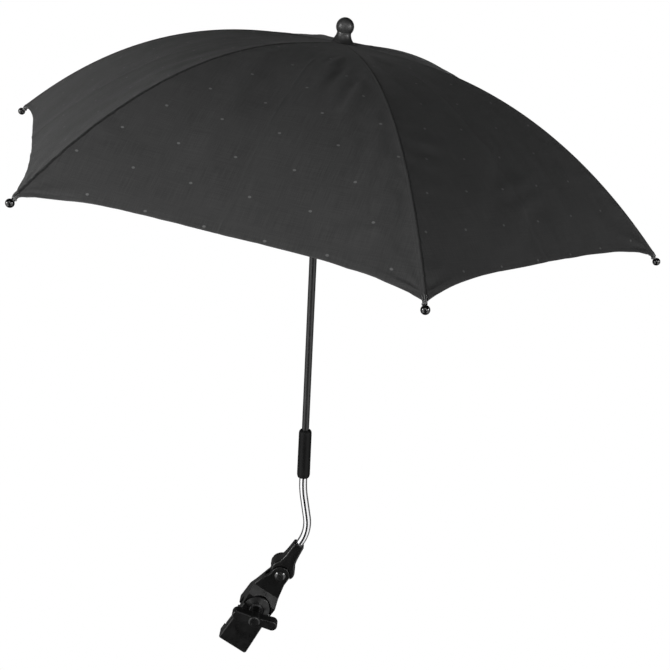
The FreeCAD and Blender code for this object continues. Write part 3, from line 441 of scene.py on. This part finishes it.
def relief(panel, x, y, w, hem):
    """Wrinkles of a panel, in mm: x across from its middle crease, y along from the apex, w its half width there, hem
    the length to the hem, which is not used.
    """
    e = smooth(w - np.abs(x), 2.5, 16.0) * smooth(y, 22.0, 80.0)
    s = panel * 13.0
    to_next, to_last = w - x, w + x   # distances to the panel's second and first rib
    h = e * 0.8 * (noise(x / 42 + s, y / 60, 1) + 0.5 * noise(x / 19 + s, y / 33, 2))
    h += e * 0.4 * noise(x / 10 + s, y / 120, 3) * smooth(y, 70, 200)
    h += e * 0.16 * noise(x / 4.5 + s, y / 9.0, 30) + e * 0.10 * noise(x / 2.6, y / 3.4 + s, 31)
    # short puckers where the seams draw the cloth in
    for side, d in ((1, to_next), (-1, to_last)):
        tug = smooth(d, 0.8, 4.5) * np.exp(-d / 9.0) * smooth(y, 45, 120)
        h += tug * (0.75 * noise(x / 40.0 + s, y / 7.5, 21 + side) + 0.35 * noise(x / 15.0, y / 4.2 + s, 24 + side))
    # pulled folds that fan out from the two tips
    for side in (-1, 1):
        xt, yt = side * 0.433 * 332.0, 366.0
        dx, dy = (x - xt) * -side, yt - y
        rho = np.hypot(dx, dy)
        th = np.arctan2(dy, dx + 1e-6)
        h += smooth(w - np.abs(x), 0.8, 8.0) * 0.7 * np.exp(-rho / 38.0) * smooth(rho, 3.0, 14.0) * np.sin(11 * th + panel * 2.1 + side)
    if panel == 2:
        h += e * 1.5 * np.exp(-((to_next - 22) / 26.0) ** 2) * noise(x / 8.0 + 5, y / 150, 11) * smooth(y, 40, 110)
        h += e * 0.7 * np.exp(-((to_next - 20) / 24.0) ** 2) * noise((x + 0.12 * y) / 4.5, y / 46, 27) * smooth(y, 50, 120)
        h += e * 1.1 * np.exp(-((x + 30) / 45.0) ** 2) * noise(x / 18.0, y / 150, 12) * smooth(y, 60, 160)
        h += e * 0.9 * np.exp(-((y - 318) / 26.0) ** 2 - ((to_next - 42) / 26.0) ** 2) * np.sin((x * 0.75 + y * 0.66) / 4.4)
    if panel == 3:
        h += smooth(to_last, 0.8, 5.0) * 1.3 * np.exp(-(to_last / 15.0)) * noise(x / 30.0, y / 8.5, 13) * smooth(y, 150, 200)
        h += e * 2.2 * np.exp(-((x + 6) / 42.0) ** 2) * smooth(y, 170, 260) * noise((x + 0.8 * y) / 17.0, (y - 0.8 * x) / 110.0, 14)
        h += e * 1.3 * np.exp(-((y - 232) / 22.0) ** 2 - ((to_last - 26) / 18.0) ** 2) * np.sin((y - 0.25 * x) / 4.6)
        h += e * 1.0 * np.exp(-((y - 285) / 20.0) ** 2 - ((x - 8) / 26.0) ** 2) * np.sin((y + 0.35 * x) / 3.9)
        h += smooth(to_next, 0.8, 5.0) * 1.3 * np.exp(-(to_next / 15.0)) * noise(x / 30.0, y / 9.5, 15) * smooth(y, 220, 290)
    if panel == 1:
        h += e * 0.8 * np.exp(-((y - 300) / 34.0) ** 2 - ((to_next - 22) / 16.0) ** 2) * np.sin((y + 0.6 * x) / 3.4)
        h += e * 0.8 * np.exp(-((to_next - 30) / 30.0) ** 2) * noise(x / 15.0, y / 170, 16) * smooth(y, 90, 180)
    if panel == 4:
        h += smooth(to_last, 0.8, 5.0) * 1.2 * np.exp(-(to_last / 18.0)) * noise(x / 30.0, y / 11.0, 17) * smooth(y, 130, 220)
    if panel in (4, 5, 6):
        h += e * 1.6 * np.exp(-((to_next - 24) / 30.0) ** 2) * noise(x / 14.0 + s, y / 180, 18) * smooth(y, 50, 130)
        h += e * 1.0 * np.exp(-((x + 10) / 40.0) ** 2) * smooth(y, 160, 250) * noise((x + 0.7 * y) / 18.0 + s, (y - 0.7 * x) / 110.0, 19)
    # the folded crease down the middle
    fold = np.exp(-np.abs(x) / 7.0) * 0.5 + np.exp(-np.abs(x) / 1.7) * 0.22
    h += fold * smooth(y, 30, 110) * (0.8 + 0.5 * noise(y / 45.0, y * 0 + panel, 5))
    return h


def gore(k):
    """The cloth over rib k, from the crease on one side to the crease on the other."""
    halves = []
    for side in (1, -1):
        panel = (k if side > 0 else k - 1) % 6 + 1
        n_col = len(NEAR_RIB) + INNER + len(NEAR_MID)
        S = np.zeros((ROWS + len(NEAR_HEM), n_col))
        Yd = np.zeros_like(S)
        v = columns(0.433 * 330.0) / (0.433 * 330.0)
        for _ in range(4):  # rows follow the hem's curve; columns follow the width at each row
            L = hem_share(v) * ARC if v.ndim == 1 else hem_share(v[-1]) * ARC
            t = np.linspace(0, 1, ROWS, endpoint=False)
            body = START + (L[None, :] - NEAR_HEM[0] - START) * t[:, None]
            tail = L[None, :] - np.array(NEAR_HEM)[:, None]
            S = np.vstack([body, tail])
            W = 0.5 * math.sqrt(3) / 2 * r_at(S)
            Yd = np.stack([columns(W[:, c])[c] for c in range(n_col)], axis=1)
            v = Yd / W
            v[:, -1] = 1.0
        L = hem_share(v[-1]) * ARC
        r = r_at(S)
        q = v / 2
        x = r * (1 - q) + 0.5 * r * q
        y = side * r * (math.sqrt(3) / 2) * q
        z = zc(r) - SAG * r * (1 - (v - 1) ** 2)
        sl = slope(r)
        nr, nz = -sl / np.hypot(1, sl), 1 / np.hypot(1, sl)
        ang = np.radians(30) * v
        N = np.stack([nr * np.cos(ang), side * nr * np.sin(ang), nz], axis=-1)
        P = np.stack([x, y, z], axis=-1)
        X = -side * (W - Yd)
        wr = relief(panel, X, S, W, L)
        d = L[None, :] - S
        seam = 0.22 * np.exp(-((Yd / 1.2) ** 2)) - (0.38 if side > 0 else 0.06) * np.exp(-(((Yd - 1.5) / 0.55) ** 2))
        seam *= np.minimum(1.0, W / 30.0)
        hem = 0.10 * (1 - smooth(d, 5.0, 9.0)) - 0.07 * np.exp(-(((d - 5.6) / 0.6) ** 2))
        top = P + N * (0.75 + wr + seam + hem)[..., None]
        bot = P + N * (0.35 + wr)[..., None]
        halves.append(dict(top=top, bot=bot, X=X, S=S, rib=Yd, rib_s=side * Yd, hem=d, mid=W - Yd))
    a, b = halves  # b's columns run the other way
    join = lambda key: np.concatenate([b[key][:, :0:-1], a[key]], axis=1)
    top, bot = join("top"), join("bot")
    rows, cols = top.shape[:2]
    middle = cols // 2
    count = rows * cols
    verts = np.concatenate([to_row(top.reshape(-1, 3), k), to_row(bot.reshape(-1, 3), k)])
    at = lambda j, i: j * cols + i
    faces, side_of = [], []
    for j in range(rows - 1):
        for i in range(cols - 1):
            sd = 0 if i >= middle else 1
            faces.append((at(j, i), at(j + 1, i), at(j + 1, i + 1), at(j, i + 1)))
            faces.append((count + at(j, i), count + at(j, i + 1), count + at(j + 1, i + 1), count + at(j + 1, i)))
            side_of += [sd, sd]
    rim = [at(rows - 1, i) for i in range(cols)] + [at(j, cols - 1) for j in range(rows - 2, -1, -1)] + [at(0, i) for i in range(cols - 2, -1, -1)] + [at(j, 0) for j in range(1, rows - 1)]
    for p, nx in zip(rim, rim[1:] + rim[:1]):
        faces.append((p, count + p, count + nx, nx))
        side_of.append(0 if (p % cols) >= middle and (nx % cols) >= middle else 1)
    o = new_mesh("canopy_cloth_%d" % (k + 1), verts, faces, MATS["canopy_fabric"])
    me = o.data
    for name, key in (("rib_mm", "rib_s"), ("hem_mm", "hem"), ("mid_mm", "mid")):
        at_ = me.attributes.new(name, "FLOAT", "POINT")
        at_.data.foreach_set("value", np.tile(join(key).reshape(-1), 2).astype(np.float32))
    Sj = join("S")
    xs_first = np.concatenate([b["X"][:, :0:-1], a["X"]], axis=1).reshape(-1)
    rib_x = {0: a["X"][:, 0], 1: b["X"][:, 0]}
    uv = me.uv_layers.new(name="cloth")
    loops = np.zeros(len(me.loops), np.int64)
    me.loops.foreach_get("vertex_index", loops)
    total = np.zeros(len(me.polygons), np.int64)
    me.polygons.foreach_get("loop_total", total)
    face_side = np.repeat(np.array(side_of), total)
    vi = loops % count
    col, row_i = vi % cols, vi // cols
    ux = xs_first[vi]
    on_rib = col == middle
    ux = np.where(on_rib & (face_side == 0), rib_x[0][row_i], np.where(on_rib & (face_side == 1), rib_x[1][row_i], ux))
    uy = Sj.reshape(-1)[vi]
    uv.data.foreach_set("uv", np.stack([ux, uy], axis=1).reshape(-1).astype(np.float32))
    # the rim's edges stay crisp
    on_rim = set(rim)
    sharp = me.attributes.new("sharp_edge", "BOOLEAN", "EDGE")
    flags = np.zeros(len(me.edges), bool)
    ev = np.zeros(len(me.edges) * 2, np.int64)
    me.edges.foreach_get("vertices", ev)
    ev = ev.reshape(-1, 2)
    rim_mask = np.zeros(count, bool)
    rim_mask[list(on_rim)] = True
    pos = {p: i for i, p in enumerate(rim)}
    for e, (p, n2) in enumerate(ev):
        if rim_mask[p % count] and rim_mask[n2 % count] and (p < count) == (n2 < count):
            gap = abs(pos[p % count] - pos[n2 % count])
            flags[e] = gap == 1 or gap == len(rim) - 1
    sharp.data.foreach_set("value", flags)
    me.update()
    # flat area of the cut
    T = top
    u_ = T[1:, :-1] - T[:-1, :-1]
    v_ = T[:-1, 1:] - T[:-1, :-1]
    u2 = T[1:, :-1] - T[1:, 1:]
    v2 = T[:-1, 1:] - T[1:, 1:]
    area = 0.5 * (np.linalg.norm(np.cross(u_, v_), axis=-1).sum() + np.linalg.norm(np.cross(u2, v2), axis=-1).sum()) / 1e6
    flat = (2 * float(a["rib"][:, -1].max()) / 1000, float(a["S"].max() - START) / 1000)
    return o, area, flat


def rib_line(s, off):
    r = r_at(s)
    sl = slope(r)
    return np.array([r - sl / np.hypot(1, sl) * off, 0.0, zc(r) + off / np.hypot(1, sl)])


def tip_stitches(k):
    """Thread that sews the corner of the cloth to the collar of the tip: turns round the collar and three long stitches."""
    end = HEM_AT * ARC - 1.2
    t = rib_line(end + 1.0, 0) - rib_line(end - 1.0, 0)
    t /= np.linalg.norm(t)
    n = np.array([-t[2], 0, t[0]])
    c = np.array([0, 1.0, 0])
    base = rib_line(end, -RIB_UNDER)
    paths = []
    turns = []
    for i in range(3 * 20 + 1):
        w = 2 * math.pi * i / 20
        turns.append(base + t * (0.5 + 1.5 * i / 60) + 2.15 * (math.cos(w) * n + math.sin(w) * c) - n * 0.15)
    paths.append(turns)
    for dy, back in ((-2.6, 4.2), (-0.9, 5.6), (1.0, 4.6), (2.7, 3.6)):
        a = rib_line(end - back, 1.15 - 0.42 * abs(dy)) + c * dy
        b = rib_line(end - 0.3, 1.25 - 0.40 * abs(dy)) + c * dy * 0.8
        d = base + t * 1.5 + 2.2 * (n * 0.9 + c * 0.16 * dy)
        mid1 = (a + b) / 2 + n * 0.25
        paths.append([a - n * 0.35, a + n * 0.05, mid1, b, (b + d) / 2 + n * 0.1, d])
    v, f = tubes(paths, 0.17, 6)
    return new_mesh("tip_thread_%d" % (k + 1), to_row(v, k), f, THREAD)


def rib_ties(k):
    """Thread that ties the cloth's seam to the rib at two places, knotted under the rib."""
    paths = []
    for s in (148.0, 262.0):
        for j in range(3):
            base = rib_line(s + j * 0.55, -RIB_UNDER)
            t = rib_line(s + 1, 0) - rib_line(s - 1, 0)
            t /= np.linalg.norm(t)
            n = np.array([-t[2], 0, t[0]])
            ring = []
            for i in range(25):
                w = 2 * math.pi * i / 24 - math.pi / 2
                a = math.cos(w) / max(abs(math.cos(w)), abs(math.sin(w))) * 1.75
                h = math.sin(w) / max(abs(math.cos(w)), abs(math.sin(w))) * 1.5
                ring.append(base + np.array([0, 1, 0]) * a + n * (h - 0.05) + t * (i / 24 * 0.5))
            paths.append(ring)
        base = rib_line(s + 0.8, -RIB_UNDER - 1.9)
        paths.append([base + np.array([0, -0.3, 0.2]), base + np.array([0.8, 0.5, -0.6]), base + np.array([1.9, 1.3, -1.8]), base + np.array([2.4, 2.4, -3.4])])
        paths.append([base + np.array([0, 0.3, 0.2]), base + np.array([-0.6, -0.5, -0.5]), base + np.array([-1.2, -1.5, -1.7]), base + np.array([-1.2, -2.2, -3.0])])
    v, f = tubes(paths, 0.2, 6)
    return new_mesh("rib_tie_%d" % (k + 1), to_row(v, k), f, DARK_THREAD)


for k in range(6):
    cloth, area, flat = gore(k)
    body = "rib_%d" % (k + 1)
    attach(cloth, body)
    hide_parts("canopy_gore_%d" % (k + 1))
    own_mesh(cloth)
    for piece in (tip_stitches(k), rib_ties(k)):
        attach(piece, body)

# ------------------------------------------------------------------ stage
FLOOR_Z = -0.9
SCREEN_LEFT, SCREEN_RIGHT, BACK_LEFT, BACK_RIGHT = 1.2, 1.0, 0.10, 0.08
# name, azimuth, elevation, distance, size, radiance, and what it reaches: matt surfaces or reflections
LAMPS = [
    ("box_left", 62, 12, 2.0, (0.42, 0.56), 20.0, "shine"),
    ("box_right", -66, 12, 2.0, (0.42, 0.56), 18.0, "shine"),
    ("front_top", 2, 34, 2.0, (1.3, 0.6), 2.0, "shine"),
    ("front_right", -24, 10, 2.0, (0.5, 0.4), 6.0, "shine"),
    ("front_low", 20, -8, 1.9, (0.9, 0.9), 15.8, "matt"),
    ("front_left", 60, 25, 1.9, (0.9, 0.9), 7.6, "matt"),
    ("right_low", -70, -5, 1.9, (0.9, 0.9), 2.8, "matt"),
    ("back_right", -150, 5, 1.9, (0.9, 0.9), 16.0, "matt"),
    ("back_left", 165, 5, 1.9, (0.9, 0.9), 12.0, "matt"),
]


def plane(name, centre, right, up, w, h, material):
    c, r, u = Vector(centre), Vector(right).normalized(), Vector(up).normalized()
    vs = [c - r * w / 2 - u * h / 2, c + r * w / 2 - u * h / 2, c + r * w / 2 + u * h / 2, c - r * w / 2 + u * h / 2]
    return new_mesh(name, vs, [(0, 1, 2, 3)], material)


def glow(name, strength):
    m = Nodes(name)
    m.set(Base_Color=(0, 0, 0, 1), Roughness=1.0, Specular_IOR_Level=0.0, Emission_Color=(1, 1, 1, 1), Emission_Strength=strength)
    return m.material


def screen(name, az0, az1, z0, z1, radius, strength):
    """A tall curved white screen round the object; azimuths in degrees from the camera's side, positive to the left."""
    n = 24
    vs, fs = [], []
    for i in range(n + 1):
        a = math.radians(az0 + (az1 - az0) * i / n)
        x, y = 0.065 - radius * math.sin(a), -radius * math.cos(a)
        vs += [(x, y, z0), (x, y, z1)]
        if i:
            fs.append((2 * i - 2, 2 * i, 2 * i + 1, 2 * i - 1))
    o = new_mesh(name, vs, fs, glow(name + "_white", strength))
    o.visible_camera = False
    o.visible_diffuse = False
    return o


floor = plane("floor", (0, 0, FLOOR_Z), (1, 0, 0), (0, 1, 0), 40, 40, glow("pale_floor", 1.0))
floor.visible_glossy = False
screens = [screen("screen_left", 27, 84, -3.2, 1.2, 2.6, SCREEN_LEFT),
           screen("screen_right", -84, -27, -3.2, 1.2, 2.6, SCREEN_RIGHT),
           screen("screen_back_left", 84, 178, -3.2, 1.2, 2.6, BACK_LEFT),
           screen("screen_back_right", -178, -84, -3.2, 1.2, 2.6, BACK_RIGHT)]

# the white room is for the camera alone; the screens and lamps below do the lighting
world = bpy.data.worlds.new("studio") if not scene.world else scene.world
scene.world = world
world.use_nodes = True
bg = world.node_tree.nodes.get("Background") or world.node_tree.nodes.new("ShaderNodeBackground")
bg.inputs["Color"].default_value = (1, 1, 1, 1)
bg.inputs["Strength"].default_value = 1.0
world.cycles_visibility.diffuse = False
world.cycles_visibility.glossy = False


def lamp(name, az, el, distance, size, radiance, reaches):
    """A soft lamp aimed at the canopy, by azimuth from the camera's side (positive to the left), elevation and radiance."""
    aim = Vector((0.065, 0.0, 0.5))
    a, e = math.radians(az), math.radians(el)
    place = aim + distance * Vector((-math.sin(a) * math.cos(e), -math.cos(a) * math.cos(e), math.sin(e)))
    d = bpy.data.lights.new(name, "AREA")
    d.shape = "RECTANGLE"
    d.size, d.size_y = size
    d.energy = radiance * math.pi * size[0] * size[1]
    o = bpy.data.objects.new(name, d)
    o.location = place
    o.rotation_euler = (aim - place).to_track_quat("-Z", "Y").to_euler()
    o.visible_camera = False
    o.visible_diffuse = reaches == "matt"
    o.visible_glossy = reaches == "shine"
    scene.collection.objects.link(o)
    return o


for args in LAMPS:
    lamp(*args)

# ------------------------------------------------------------------ camera
right = Vector((0.998689, 0.013475, 0.049392))
down = Vector((0.051197, -0.262858, -0.963476))
ahead = Vector((0.0, 0.964741, -0.263203))
cam = bpy.data.objects.new("camera", bpy.data.cameras.new("camera"))
cam.data.sensor_width = 36.0
cam.data.lens = 55.504
cam.data.clip_start, cam.data.clip_end = 0.01, 100.0
cam.matrix_world = Matrix((
    (right.x, -down.x, -ahead.x, 0.0881),
    (right.y, -down.y, -ahead.y, -1.0548),
    (right.z, -down.z, -ahead.z, 0.6311),
    (0, 0, 0, 1)))
scene.collection.objects.link(cam)
scene.camera = cam
scene.view_settings.view_transform = "Standard"
scene.view_settings.look = "None"
scene.view_settings.exposure = 0.0
scene.view_settings.gamma = 1.0
